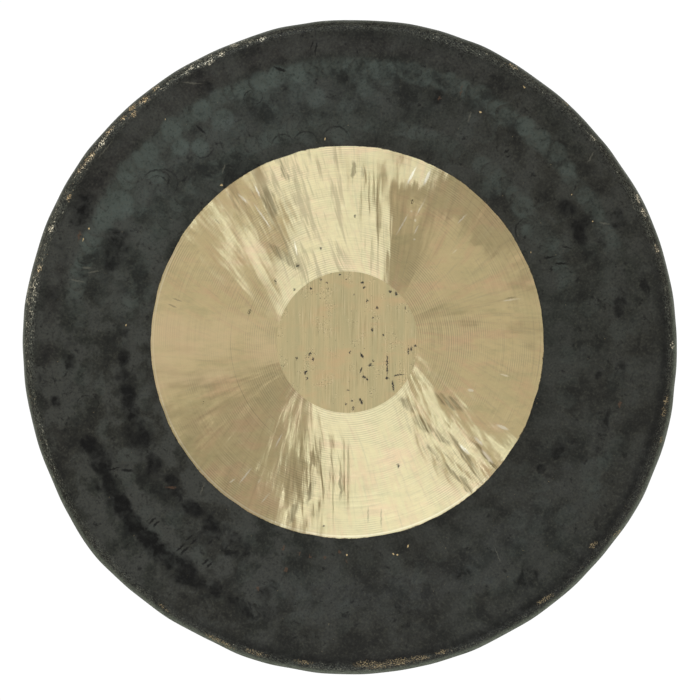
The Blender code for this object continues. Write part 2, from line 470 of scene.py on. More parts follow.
def gong_mesh():
    """The finished sheet as a mesh, with one material slot for each zone."""
    rings = Rings()
    add_front_face(rings)
    add_rim(rings)
    add_back_face(rings)
    mesh = bpy.data.meshes.new("gong_sheet")
    mesh.from_pydata(np.concatenate(rings.points).tolist(), [], [tuple(map(int, f)) for f in rings.faces])
    mesh.polygons.foreach_set("material_index", rings.zones)
    # The light and the darkness of the marks: partly patina and soot, partly painted light and shade
    for name, values in (("light", rings.light), ("darkness", rings.darkness)):
        layer = mesh.attributes.new(name, "FLOAT", "POINT")
        layer.data.foreach_set("value", np.concatenate(values).astype(np.float32))
    mesh.shade_smooth()
    mesh.set_sharp_from_angle(angle=math.radians(35.0))
    return mesh


# Materials

def arithmetic(operation, swapped=False):
    """A method that puts a value and another through a math node."""
    def through_node(value, other=0.0):
        pair = (other, value) if swapped else (value, other)
        return value.graph.math(operation, *pair)
    return through_node


class Value:
    """What a shader node gives out. Plain arithmetic with it makes math nodes."""

    def __init__(self, graph, socket):
        self.graph = graph
        self.socket = socket

    def beside(self, out):
        """Another output of the same node."""
        return Value(self.graph, self.socket.node.outputs[out])

    __add__ = arithmetic("ADD")
    __radd__ = arithmetic("ADD", swapped=True)
    __sub__ = arithmetic("SUBTRACT")
    __rsub__ = arithmetic("SUBTRACT", swapped=True)
    __mul__ = arithmetic("MULTIPLY")
    __truediv__ = arithmetic("DIVIDE")
    __rtruediv__ = arithmetic("DIVIDE", swapped=True)
    __abs__ = arithmetic("ABSOLUTE")


# How many marks Cycles works out at once, and a length too small to see
SPOTS_AT_ONCE = 8
ARCS_AT_ONCE = 5
TRIFLE = 1e-9


class Graph:
    """The nodes of a material or of the world, with short calls that add to them."""

    def __init__(self, owner, place="Object"):
        """Starts on a material or the world, where a place is this kind of texture coordinate."""
        owner.use_nodes = True
        self.owner = owner
        self.tree = owner.node_tree
        self.place = self.node("TexCoord", out=place)
        self.colour = (1.0, 1.0, 1.0)

    def put(self, socket, value):
        """Links a value to a socket, or sets the socket to a plain number, vector or colour."""
        if isinstance(value, Value):
            self.tree.links.new(value.socket, socket)
        elif socket.type == "RGBA":
            socket.default_value = (*value, 1.0)
        else:
            socket.default_value = value

    def node(self, kind, inputs=(), out=0, **settings):
        """An output of a new node with these settings. Its inputs come in order, or by name or number."""
        node = self.tree.nodes.new("ShaderNode" + kind)
        for name, value in settings.items():
            setattr(node, name, value)
        named = inputs if isinstance(inputs, dict) else dict(enumerate(inputs))
        for key, value in named.items():
            self.put(node.inputs[key], value)
        return Value(self, node.outputs[out])

    def math(self, operation, a, b=0.0, c=0.0, clamp=False):
        return self.node("Math", (a, b, c), operation=operation, use_clamp=clamp)

    def most(self, a, b):
        return self.math("MAXIMUM", a, b)

    def vector(self, operation, a, b=(0.0, 0.0, 0.0)):
        out = "Value" if operation == "LENGTH" else "Vector"
        return self.node("VectorMath", (a, b), out, operation=operation)

    def scaled(self, vector, amount):
        return self.node("VectorMath", {0: vector, "Scale": amount}, "Vector", operation="SCALE")

    def combine(self, x, y, z):
        return self.node("CombineXYZ", (x, y, z))

    def separate(self, vector):
        x = self.node("SeparateXYZ", (vector,))
        return x, x.beside(1), x.beside(2)

    def noise(self, place, scale, detail=3.0, roughness=0.55, out=0):
        inputs = {"Vector": place, "Scale": scale, "Detail": detail, "Roughness": roughness}
        return self.node("TexNoise", inputs, out)

    def stretched(self, across, up, detail, roughness):
        """Noise that is this fine across and up, in waves per metre."""
        x, _, z = self.separate(self.place)
        return self.noise(self.combine(x * across, 0.0, z * up), 1.0, detail, roughness)

    def ramp(self, value, low, high, to_low=0.0, to_high=1.0):
        """Eases from to_low to to_high as the value goes from low to high, and stays there past both."""
        return self.node("MapRange", (value, low, high, to_low, to_high), interpolation_type="SMOOTHSTEP")

    def mix(self, share, a, b):
        return self.node("Mix", {0: share, 6: a, 7: b}, 2, data_type="RGBA")

    def tint(self, share, colour):
        """Lays this colour over the material's own, by this share."""
        self.colour = self.mix(share, self.colour, colour)

    def bump(self, height, distance, strength):
        return self.node("Bump", {"Strength": strength, "Distance": distance, "Height": height})

    def polar(self, centre=(0.0, 0.0), place=None):
        """(direction, radius, angle in degrees from 12 o'clock) round a centre given across and up."""
        flat = self.vector("MULTIPLY", place or self.place, (1.0, 0.0, 1.0))
        away = self.vector("SUBTRACT", flat, (centre[0], 0.0, centre[1]))
        direction = self.vector("NORMALIZE", away)
        x, _, z = self.separate(away)
        angle = self.math("ARCTAN2", x, z) * (180.0 / math.pi)
        return direction, self.vector("LENGTH", away), angle

    def arc(self, angle, start, end, ease=8.0):
        """1 from one clock angle round to another, easing to 0 just past them."""
        half = (end - start) % 360.0 / 2
        away = abs(self.math("WRAP", angle - (start + half), 180.0, -180.0))
        return self.ramp(away, half, half + ease, 1.0, 0.0)

    def line(self, value, middle, half_width):
        """1 where a value is this, easing to 0 this far from it."""
        return self.ramp(abs(value - middle), 0.0, half_width, 1.0, 0.0)

    def row(self, angle, radius, middle, reach, count):
        """A ring of round marks that overlap like scales, as (how far on in its scale, from 0 to 1; 1 inside
        the row; a random value for each scale)."""
        off = (radius - middle) / reach
        left = self.most(1.0 - off * off, 0.0)
        bow = self.math("SQRT", left) * (reach * count / (2 * math.pi * middle))
        along = angle * (count / 360.0) + bow
        pick = self.node("TexWhiteNoise", {"W": self.math("FLOOR", along)}, "Value", noise_dimensions="1D")
        return self.math("FRACT", along), self.ramp(abs(off), 1.0, 0.45), pick

    def streaks(self, direction, depth, across, along, detail=3.0, roughness=0.55):
        """Noise that goes round the face without a seam: across is per radian, along is per metre."""
        x, _, z = self.separate(self.scaled(direction, across))
        return self.noise(self.combine(x, depth * along, z), 1.0, detail, roughness)

    def uneven(self, amount, scale=500.0, detail=1.0):
        """The place on the face, shaken a little, so that marks get ragged edges."""
        shake = self.noise(self.place, scale, detail, 0.5, "Color")
        away = self.vector("SUBTRACT", shake, (0.5, 0.5, 0.5))
        return self.vector("ADD", self.place, self.scaled(away, amount))

    def painted(self, name):
        """A value that the mesh carries at its points."""
        return self.node("Attribute", out="Fac", attribute_name=name)

    def front(self):
        """1 on what faces the front, 0 on what faces the back."""
        facing = self.separate(self.node("TexCoord", out="Normal"))[1]
        return self.ramp(facing, -0.2, 0.0, 1.0, 0.0)

    def blows(self, place, scale):
        """Round marks strewn over the face, as (how far from a mark's middle, how high in it, a random
        value). The distances are in spacings of the marks."""
        x, _, z = self.separate(place)
        inputs = {"Vector": self.combine(x, z, 0.0), "Scale": scale}
        away = self.node("TexVoronoi", inputs, "Distance", voronoi_dimensions="2D")
        above = z - self.separate(away.beside("Position"))[1]
        return away, above * scale, self.separate(away.beside("Color"))[0]

    def spot(self, place, x, y, length, width, turn=0.0):
        """1 in the middle of an oval spot, falling evenly to 0 at its edge. Sizes are in the photograph's
        pixels, and the turn is in degrees clockwise from upright."""
        across, up = photo_place(x, y)
        spot = self.node("TexGradient", {"Vector": place}, "Fac", gradient_type="SPHERICAL")
        mapping = spot.socket.node.texture_mapping
        mapping.vector_type = "TEXTURE"
        mapping.translation = (across, 0.0, up)
        mapping.rotation = (0.0, math.radians(turn), 0.0)
        half = 0.5 / PIXELS_PER_METRE
        mapping.scale = (width * half, 1.0, length * half)
        return spot

    def after(self, place, value):
        """The same place, for what is worked out after this value. Cycles holds few values at a time."""
        return self.vector("ADD", place, self.combine(value * TRIFLE, 0.0, 0.0))

    def marks(self, place, marks):
        """1 in the middle of these marks, easing to 0 at their edges. They are (x, y, length, width, turn),
        as Graph.spot takes them."""
        most = 0.0
        for number, mark in enumerate(marks):
            if number and number % SPOTS_AT_ONCE == 0:
                place = self.after(place, most)
            most = self.most(most, self.spot(place, *mark))
        return self.ramp(most, 0.0, 0.55) * self.front()

    def crescents(self, place, marks):
        """Thin arcs, as (x, y, radius, turn) in the photograph's pixels. The arc's middle is on the side that
        the turn gives, in degrees clockwise from 12 o'clock. It is what one round leaves of another."""
        total = 0.0
        wide = 1.3
        edge = 1.0 - 1.0 / wide
        for number, (x, y, radius, turn) in enumerate(marks):
            if number and number % ARCS_AT_ONCE == 0:
                place = self.after(place, total)
            shift = 0.15 * radius
            inner_x = x - shift * math.sin(math.radians(turn))
            inner_y = y + shift * math.cos(math.radians(turn))
            across = 2 * wide * radius
            whole = self.ramp(self.spot(place, x, y, across, across), edge - 0.05, edge + 0.03)
            inner = self.ramp(self.spot(place, inner_x, inner_y, across, across), edge + 0.01, edge - 0.07)
            total = self.most(total, whole * inner)
        return total * self.front()

    def finish(self, **inputs):
        """Gives the shader the material's colour and these inputs, written with _ for a space."""
        shader = self.tree.nodes["Principled BSDF"]
        for name, value in {"Base_Color": self.colour, **inputs}.items():
            self.put(shader.inputs[name.replace("_", " ")], value)
        return self.owner


# In the materials below, a radius is in metres, an angle in clock degrees and a colour in linear light

# Chips, strokes and scratches in the dark ring, as Graph.marks takes them
BRASS_CHIPS = (
    (524, 88, 3, 2, 160), (325, 140, 4, 2, 20), (393, 553, 3, 2), (408, 545, 5, 2, 25),
    (222, 186, 3, 2, 60), (530, 253, 2, 1), (592, 222, 2, 2), (480, 113, 4, 2, 110), (90, 229, 2, 2),
    (347, 554, 2, 2), (571, 195, 2, 1), (84, 240, 4, 1, 20), (397, 554, 2, 2), (166, 120, 2, 1),
    (127, 325, 2, 2),
)
RUST = (
    (284, 547, 6, 4, 20), (300, 552, 4, 3), (325, 556, 6, 3, 60), (340, 551, 4, 3), (286, 569, 6, 5, 30),
    (619, 404, 6, 5), (461, 92, 16, 2, 10), (439, 99, 8, 3, 40), (172, 487, 12, 4, 100),
    (80, 236, 14, 4, 10), (310, 556, 3, 3), (347, 560, 4, 3), (240, 502, 10, 3, 120), (258, 588, 6, 4),
)
PALE_SCRATCHES = (
    (469, 118, 14, 2, 15), (590, 158, 17, 2, 30), (203, 488, 16, 2, 20), (604, 224, 14, 2, 100),
    (193, 84, 26, 2, 95), (497, 554, 24, 1, 158), (520, 330, 20, 2, 170), (224, 170, 12, 2, 20),
    (106, 150, 30, 2, 40), (632, 205, 16, 2, 165), (78, 281, 20, 2, 100), (95, 272, 16, 2, 80),
    (88, 268, 12, 3, 95), (495, 60, 12, 2, 120), (502, 66, 10, 2, 40),
)
BLACK_STROKES = (
    (153, 520, 12, 3, 48), (157, 523, 12, 3, 48), (181, 547, 15, 3, 48), (185, 550, 15, 3, 48),
    (190, 537, 13, 3, 48), (194, 541, 13, 3, 48), (206, 561, 12, 3, 48), (210, 564, 12, 3, 48),
    (211, 541, 9, 3, 40), (201, 130, 18, 3, 130), (112, 469, 26, 2, 75), (506, 152, 8, 4, 60),
    (508, 157, 6, 2, 60), (128, 470, 16, 4, 95), (280, 70, 4, 18, 20), (316, 50, 20, 2, 10),
    (312, 46, 12, 2, 20), (560, 264, 3, 16), (566, 248, 2, 12, 10), (548, 258, 3, 14, -10),
)
# Soft dark smears, as Graph.marks takes them
SMUDGES = (
    (619, 304, 50, 20), (643, 283, 34, 11, 175), (620, 372, 30, 18), (600, 240, 30, 14, 150),
    (575, 228, 48, 16, 160), (118, 252, 46, 26, 10), (602, 430, 66, 16, 15), (236, 552, 44, 22, 120),
    (527, 578, 38, 26, 60), (462, 574, 28, 22, 100),
)
# Where the rim is worn to bare brass, as Graph.marks takes them
RIM_GLINTS = (
    (262, 40, 14, 5, 73), (235, 46, 14, 5, 69), (222, 55, 12, 5, 66), (209, 63, 15, 6, 64),
    (157, 88, 12, 5, 53), (144, 101, 17, 7, 50), (133, 108, 13, 6, 48), (134, 115, 9, 6, 46),
    (124, 119, 10, 6, 45), (111, 131, 17, 5, 42), (102, 144, 18, 6, 39), (91, 158, 18, 6, 37),
    (83, 168, 15, 6, 35), (70, 198, 12, 5, 28), (52, 229, 11, 5, 22), (513, 67, 12, 3, 120),
    (592, 138, 11, 4, 138), (637, 198, 14, 5, 152), (643, 213, 14, 5, 154), (656, 249, 11, 5, 162),
    (671, 345, 11, 4), (40, 270, 10, 4, 12),
)
# Where it is worn and brown, most of it at the bottom: partly tarnish, partly painted shade of the weaker
# lamp below
BROWN_GLINTS = (
    (566, 103, 9, 5, 130), (665, 400, 12, 5, 10), (663, 412, 12, 5, 12), (592, 545, 12, 6, 50),
    (545, 598, 26, 5, 58), (372, 664, 44, 10, 93), (398, 661, 38, 9, 86), (220, 641, 42, 6, 116),
    (256, 652, 30, 6, 108), (419, 657, 26, 6, 82), (303, 661, 24, 5, 98), (443, 651, 20, 5, 76),
    (617, 533, 18, 4, 52), (33, 430, 10, 4, 165), (661, 439, 10, 4, 18), (164, 607, 16, 4, 130),
)
# Edges of single marks, as Graph.crescents takes them
DARK_ARCS = (
    (158, 185, 15, 10), (158, 187, 11, 15), (165, 184, 14, 60), (252, 99, 8, 300), (256, 98, 7, 120),
    (283, 146, 11, 350), (306, 144, 12, 5), (336, 140, 13, 0), (527, 232, 13, 270), (87, 404, 9, 330),
    (92, 403, 8, 80), (203, 148, 11, 150), (240, 186, 16, 250),
)


def patina_material():
    """The dark oxide left by the forge: mottled, lightened by the hammer's rubbing and by painted light from
    above, worn to brass at the rim, where a pale line is a painted highlight.
    """
    g = Graph(bpy.data.materials.new("dark_patina"))
    loose = g.uneven(15 * MM, 50, 4)
    direction, radius, angle = g.polar()
    _, loose_radius, loose_angle = g.polar(place=loose)
    clouds = g.noise(g.place, 9, 4, 0.6)
    patches = g.noise(loose, 34, 4, 0.62)
    spots = g.noise(loose, 120, 4, 0.65)
    grain = g.noise(g.place, 480, 3, 0.6)
    strokes = g.streaks(direction, radius, 60, 26, 4, 0.65)
    on_slope = g.ramp(radius, 0.184, 0.2) * g.ramp(radius, 0.275, 0.264)
    g.colour = g.mix(g.ramp(clouds, 0.36, 0.64), (0.0225, 0.0225, 0.0178), (0.0185, 0.0208, 0.0163))
    brown = g.arc(angle, 262, 20, 20) * g.line(radius, 0.281, 0.016)
    g.tint(brown * 0.6, (0.0245, 0.0225, 0.02))
    pale = 0.75 + g.arc(angle, 200, 290, 20) * 1.1
    g.tint(g.ramp(patches, 0.42, 0.65) * pale, (0.04, 0.0415, 0.0355))

    # Lighter marks: single marks, scales in two rows, and marks strewn between them. They are partly patina
    # that the hammer's rubbing lightened and partly painted light from the lamp above: the rows are lighter
    # at the top and upper left, each strewn mark has a painted lit crescent on its lower side, and the slope
    # is painted lighter at the top
    into, inside, pick = g.row(loose_angle, loose_radius, OUTER_ROW * MM, 10.8 * MM, 190)
    scales = inside * g.ramp(into, 0.05, 0.45, 0.3, 1) * g.ramp(pick, 0, 1, 0.45, 1)
    outer_light = g.arc(angle, 284, 48) * 0.8 + g.arc(angle, 57, 66) * 0.35
    outer_edges = inside * g.ramp(into, 0.18, 0.02) * outer_light
    blots = g.noise(loose, 62, 3, 0.55)
    # Darker rows at the lower left: partly soot, partly painted shade where the dents face away from the lamp
    outer_darkness = g.line(loose_radius, OUTER_ROW * MM, 0.019) * g.arc(angle, 198, 252)
    into, inside, pick = g.row(loose_angle, loose_radius, INNER_ROW * MM, 10 * MM, 130)
    inner_light = (g.arc(angle, 14, 76) + g.arc(angle, 282, 2)) * 0.42
    inner_scales = inside * g.ramp(into, 0.05, 0.35, 0.3, 1) * g.ramp(pick, 0, 1, 0.3, 1)
    inner_edges = inside * g.ramp(into, 0.16, 0.02) * g.arc(angle, 282, 80)
    inner_darkness = g.line(loose_radius, 0.209, 0.017) * g.arc(angle, 206, 274)
    row_darkness = g.most(outer_darkness, inner_darkness) * (g.ramp(blots, 0.36, 0.62) * g.front())
    rows = g.most(scales * outer_light, inner_scales * inner_light) * g.ramp(patches, 0.34, 0.56, 0.5, 1)
    reach, above, pick = g.blows(loose, 44)
    body = g.ramp(reach, 0.5, 0.25) * g.ramp(pick, 0.35, 0.9)
    ring = g.line(reach, 0.43, 0.12)
    # Painted shade on the upper side of each strewn mark and painted light on its lower side, as a lamp above
    # lights a dent
    shaded = ring * g.ramp(above, 0.05, 0.35) * g.ramp(pick, 0.15, 0.5)
    lit = ring * g.ramp(above, -0.05, -0.35) * g.ramp(pick, 0.15, 0.5)
    single = g.ramp(g.painted("light") + (spots - 0.5) * 0.55, 0.1, 0.88)
    rubbed_and_lit = g.most(single * 0.8, rows)
    rubbed_and_lit = rubbed_and_lit + (body * 0.16 + lit * 0.15) * on_slope
    # Painted light: the slope lighter at the top, where it faces the lamp above
    rubbed_and_lit = rubbed_and_lit + g.arc(angle, 292, 5, 25) * (on_slope * 0.1)
    rubbed_and_lit = rubbed_and_lit * g.ramp(spots, 0.25, 0.62, 0.65, 1)
    # Rubbed patina and painted light together, in a lighter teal
    g.tint(rubbed_and_lit, (0.063, 0.078, 0.067))

    # Dark marks, with feathered edges: soot and the dark rows, dark edges of the scales, the painted shade of
    # the strewn marks, a darkening of the lower right, and a band of painted shade where the face rolls over
    # into the rim, heaviest at the lower right
    black = g.most(g.painted("darkness"), row_darkness * 0.62)
    feather = (spots - 0.5) * 1.6 + (grain - 0.5) * 0.7 + (blots - 0.5) * 0.9
    black = g.ramp(black + feather * g.ramp(black, 0, 0.4), 0.08, 1)
    # Darker at the lower right all over
    low_right = g.arc(angle, 95, 195, 25)
    mottled = patches - low_right * 0.035
    share = 0.64 - low_right * 0.1
    black = g.most(black, g.ramp(mottled, 0.49, 0.31) * share)
    black = g.most(black, low_right * 0.13)
    black = g.most(black, g.ramp(spots, 0.43, 0.29) * g.ramp(rubbed_and_lit, 0.4, 0.1, 0.15, 0.75))
    edges = outer_edges * 0.14 + inner_edges * 0.2
    unlightened = g.ramp(rubbed_and_lit, 0.35, 0.05)
    # Painted shade: the upper side of strewn marks on the slope
    edges = g.most(edges, shaded * unlightened * (on_slope * 0.18))
    edges = g.most(edges, g.line(patches, 0.53, 0.03) * 0.06)
    black = g.most(black, edges * g.ramp(spots, 0.4, 0.58, 0.15, 1))
    black = g.most(black, g.marks(loose, SMUDGES) * g.ramp(spots, 0.38, 0.62, 0.25, 0.85))
    # Painted shade: a dark band where the face rolls over into the rim, heaviest at the lower right
    low_band = g.line(radius, 0.293, 0.0125) * (0.12 + g.arc(angle, 90, 195, 30) * 0.88)
    lower_right = g.line(radius, 0.2975, 0.009) * g.arc(angle, 112, 165, 22)
    low_band = g.most(low_band, lower_right * 0.75)
    black = g.most(black, low_band * g.ramp(spots, 0.25, 0.6, 0.3, 0.78))
    g.tint(black, (0.002, 0.002, 0.0016))
    g.tint(g.ramp(strokes, 0.5, 0.78, 0, 0.3) * (1 - black), (0.05, 0.052, 0.042))
    light_grain = g.ramp(grain, 0.48, 0.78, 0, 0.46) * g.ramp(black, 0.3, 0.9, 1, 0.25)
    g.tint(light_grain, (0.064, 0.064, 0.048))
    g.tint(g.ramp(grain, 0.5, 0.25, 0, 0.55), (0.006, 0.006, 0.005))

    place = g.uneven(2.5 * MM)
    arcs = g.crescents(place, DARK_ARCS) * g.ramp(spots, 0.34, 0.54, 0.25, 0.8)
    g.tint(arcs, (0.004, 0.004, 0.0035))
    g.tint(g.marks(place, PALE_SCRATCHES) * 0.42, (0.13, 0.125, 0.095))
    g.tint(g.marks(place, BLACK_STROKES) * 0.9, (0.003, 0.003, 0.0025))
    g.tint(g.marks(g.uneven(6 * MM, 400), RUST) * 0.6, (0.085, 0.048, 0.028))
    specks = g.ramp(g.noise(g.place, 620, 2, 0.5), 0.775, 0.82)
    chips = g.most(g.marks(place, BRASS_CHIPS), specks * 0.7)

    # The rim: fine bare scratches round it, and a pale line where it turns away, which is a painted highlight
    y = g.separate(g.place)[1]
    along = radius + y
    scuffs = g.streaks(direction, along, 150, 900, 3, 0.7)
    broad = g.streaks(direction, along, 50, 300, 3, 0.6)
    where = g.noise(g.place, 24, 3, 0.65)
    upper_left = g.arc(angle, 290, 328, 22)
    near_rim = g.ramp(radius, 0.2885, 0.2955) * g.ramp(y, 0.004, -0.006)
    on_rim = g.ramp(radius, 0.2925, 0.2985) * g.ramp(y, 0.004, -0.006)
    wear = scuffs * 0.7 + broad * 0.3 + (where - 0.5) * 0.15
    tops = upper_left * 0.06 + g.arc(angle, 334, 85, 15) * 0.024 + g.arc(angle, 250, 280, 12) * 0.055
    wear = wear + (tops + g.arc(angle, 172, 205, 20) * 0.02)
    wear = wear - g.arc(angle, 105, 160, 20) * 0.03
    g.tint(on_rim * g.ramp(wear, 0.51, 0.63, 0, 0.52), (0.115, 0.125, 0.1))
    pitted = near_rim * (g.ramp(scuffs, 0.5, 0.4) * g.ramp(where, 0.36, 0.52, 0.4, 0.9))
    g.tint(pitted, (0.003, 0.003, 0.0025))
    # Painted highlight: a pale line where the rim turns away, heaviest round the lower side, standing in for
    # the reflection of the white behind
    low_rim = g.arc(angle, 88, 236, 20)
    edge_y = y + low_rim * (1.3 * MM)
    turned = g.ramp(edge_y, -0.017, -0.0135) * g.ramp(y, 0.012, -0.004, 0.25, 1)
    turned = turned * g.ramp(radius, 0.296, 0.299) * g.ramp(y, 0.02, 0.01)
    turned = turned * (0.55 + g.arc(angle, 60, 262, 40) * 0.45)
    g.tint(turned * g.ramp(broad, 0.25, 0.6, 0.35, 0.9), (0.13, 0.15, 0.115))
    worn = on_rim * g.ramp(wear, 0.655, 0.715)
    dust = g.noise(g.place, 900, 3, 0.65)
    crumbs = g.ramp(dust, 0.515, 0.57)
    shaken = g.uneven(7 * MM, 330, 2)
    worn = g.most(worn, g.marks(shaken, RIM_GLINTS) * crumbs)
    # Worn spots painted brown: partly tarnish, partly painted shade
    browned = g.marks(shaken, BROWN_GLINTS) * g.ramp(dust, 0.5, 0.58) * 0.85
    g.tint(on_rim * g.ramp(dust, 0.54, 0.66, 0, 0.55), (0.15, 0.145, 0.105))
    g.tint(on_rim * g.ramp(dust, 0.46, 0.36, 0, 0.6), (0.005, 0.005, 0.004))
    g.tint(worn, g.mix(g.ramp(where, 0.38, 0.5), (0.62, 0.46, 0.25), (0.78, 0.72, 0.55)))
    g.tint(browned, (0.3, 0.23, 0.125))
    g.tint(chips, (0.55, 0.42, 0.22))
    bare = g.most(worn, chips)

    rough = g.ramp(clouds, 0.3, 0.7, 0.38, 0.46) + g.ramp(spots, 0.35, 0.75) * 0.14
    rough = rough + black * 0.25 - rubbed_and_lit * 0.1
    height = g.noise(g.place, 190, 4, 0.6) * 0.7 + strokes * 0.5
    height = height + g.ramp(reach, 0, 0.45) * 0.5
    normal = g.bump(height, 0.9 * MM, 0.6)
    return g.finish(Metallic=bare * 0.8, Roughness=rough, Specular_IOR_Level=0.17, Normal=normal)


# Scratches and pits in the bright ring
BRIGHT_SCRATCHES = (
    (402, 225, 31, 2, 30), (421, 207, 27, 2, 29), (462, 219, 17, 2, 45), (411, 177, 26, 3, 28),
    (427, 178, 22, 4, 25), (416, 230, 14, 2, 27), (454, 252, 9, 2, 50), (411, 212, 3, 3), (415, 221, 4, 3),
    (414, 240, 3, 3), (233, 480, 9, 2, 55), (246, 475, 26, 2, 38), (260, 480, 7, 2, 30),
    (266, 497, 16, 2, 40), (279, 440, 20, 2, 28), (511, 300, 24, 2, 82), (504, 375, 12, 2, 105),
    (502, 427, 17, 4, 112), (470, 390, 8, 4, 100), (464, 449, 18, 4, 138), (487, 456, 22, 5, 140),
    (478, 441, 16, 4, 135), (258, 192, 18, 2, 155), (243, 199, 16, 3, 135), (263, 217, 40, 2, 145),
    (296, 248, 18, 2, 170),
)
DARK_SCRATCHES = (
    (362, 173, 17, 2), (364, 173, 14, 2, 5), (446, 455, 14, 2, 137), (368, 514, 20, 2), (381, 517, 24, 2),
    (218, 222, 10, 2, 135), (510, 298, 14, 2, 82), (178, 300, 12, 2, 110), (173, 306, 12, 2, 115),
)
RING_PITS = (
    (250, 312, 7, 4, 30), (298, 266, 5, 4, 90), (276, 282, 8, 3), (412, 202, 6, 4, 10), (355, 217, 4, 3),
    (295, 290, 4, 3), (324, 525, 3, 4), (398, 465, 4, 5, 90), (204, 402, 4, 2), (321, 249, 4, 3),
)
# Dull smears in the ring
DULL_SMEARS = (
    (407, 405, 26, 13, 130), (423, 424, 30, 15, 130), (450, 402, 44, 14, 116), (461, 450, 54, 8, 145),
    (474, 470, 42, 8, 140), (491, 462, 34, 7, 140), (466, 485, 32, 8, 138), (270, 203, 44, 16, 160),
    (285, 257, 52, 11, 128), (353, 170, 22, 6), (311, 490, 40, 8, 16), (293, 512, 30, 9, 26),
    (341, 483, 40, 6), (440, 436, 34, 8, 138), (284, 172, 30, 8, 155), (452, 472, 34, 6, 142),
    (479, 449, 28, 6, 134), (433, 452, 26, 5, 140),
)
# Where the ring was brushed up and down, and where outward
BRUSHED_UP = ((374, 244, 84, 50, 0), (366, 190, 90, 44, 0), (340, 480, 120, 40, 4))
BRUSHED_OUT = ((312, 478, 132, 72, 20), (294, 203, 112, 100, 156), (440, 440, 150, 70, 135))


